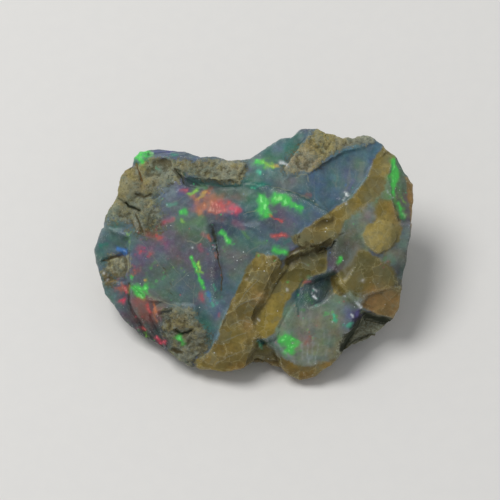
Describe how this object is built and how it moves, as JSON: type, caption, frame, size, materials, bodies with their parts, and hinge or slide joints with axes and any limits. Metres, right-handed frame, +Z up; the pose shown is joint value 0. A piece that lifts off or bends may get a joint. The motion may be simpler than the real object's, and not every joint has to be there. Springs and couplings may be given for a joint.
{
  "type": "rough opal",
  "caption": "Rough piece of precious opal with fire colours, amber potch and a tan crust, lying on a flat break.",
  "frame": {"origin": "on the resting plane, under the middle of the stone's box", "axes": "+Z up, +X along the stone's length to the right of its broad broken face, which leans back towards +Y"},
  "size_m": [0.0324, 0.0222, 0.0145],
  "materials": {
    "opal": "satin"
  },
  "bodies": {
    "root": {"opal": "opal"}
  },
  "joints": []
}
